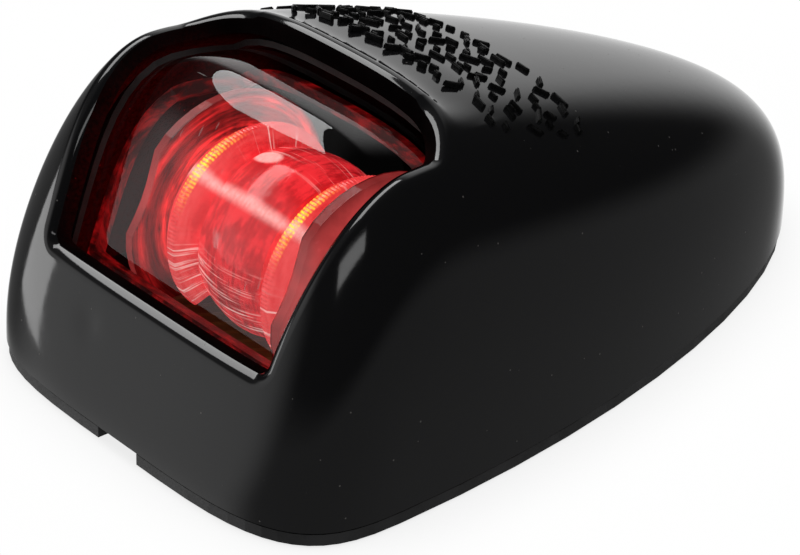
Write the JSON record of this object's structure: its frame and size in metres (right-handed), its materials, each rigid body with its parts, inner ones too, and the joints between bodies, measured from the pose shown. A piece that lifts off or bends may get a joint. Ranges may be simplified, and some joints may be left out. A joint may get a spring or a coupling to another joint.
{
  "type": "navigation light",
  "caption": "Compact red side light for a small boat: teardrop black lift-off cover with a curved clear window over a red drum lens and LED on a sealed base.",
  "frame": {"origin": "centre of the footprint on the mounting plane", "axes": "+Z out of the mounting surface, -Y towards the end with the window, +X across the light"},
  "size_m": [0.0416, 0.07, 0.0277],
  "materials": {
    "cover_black": "glossy moulded black",
    "seal_rubber": "matte",
    "window_clear": "clear, faintly smoked moulding",
    "frame_black": "matte",
    "base_black": "fine moulded texture",
    "gasket_foam": "foam",
    "cord_rubber": "satin",
    "carrier_black": "polished inside",
    "drum_red": "clear red moulding",
    "sink_aluminium": "bead blasted",
    "led_board_white": "white solder mask",
    "led_ceramic": "sintered",
    "led_phosphor": "silicone over yellow phosphor",
    "lead_red": "insulated wire",
    "lead_black": "insulated wire",
    "board_olive": "solder mask on laminate",
    "chip_black": "moulded package",
    "inductor_body": "ferrite",
    "protection_diode_body": "moulded package",
    "sense_resistor_body": "glazed chip",
    "can_aluminium": "drawn can",
    "grommet_rubber": "matte",
    "cable_grey": "matte jacket",
    "wire_red": "insulated wire",
    "wire_black": "insulated wire",
    "clamp_nylon": "moulded nylon",
    "screw_steel": "stainless"
  },
  "bodies": {
    "base": {"base_plate": "base_black", "base_gasket": "gasket_foam", "cover_seal": "cord_rubber", "lamp_carrier": "carrier_black", "drum_lens": "drum_red", "heat_sink": "sink_aluminium", "led_board": "led_board_white", "led_package": "led_ceramic", "led_dome": "led_phosphor", "led_lead_positive": "lead_red", "led_lead_negative": "lead_black", "circuit_board": "board_olive", "driver_chip": "chip_black", "inductor": "inductor_body", "protection_diode": "protection_diode_body", "sense_resistor": "sense_resistor_body", "input_capacitor": "can_aluminium", "cable_grommet": "grommet_rubber", "cable_jacket": "cable_grey", "wire_positive": "wire_red", "wire_negative": "wire_black", "cable_clamp": "clamp_nylon", "board_screw_left": "screw_steel", "board_screw_right": "screw_steel", "carrier_screw_left": "screw_steel", "carrier_screw_right": "screw_steel", "clamp_screw_left": "screw_steel", "clamp_screw_right": "screw_steel"},
    "cover": {"cover": "cover_black", "window_seal": "seal_rubber", "window_lens": "window_clear", "lens_frame": "frame_black"}
  },
  "joints": [
    {"name": "cover_lift", "type": "slide", "parent": "base", "child": "cover", "axis": [0, 0, 1], "range_m": [0, 0.045]}
  ]
}
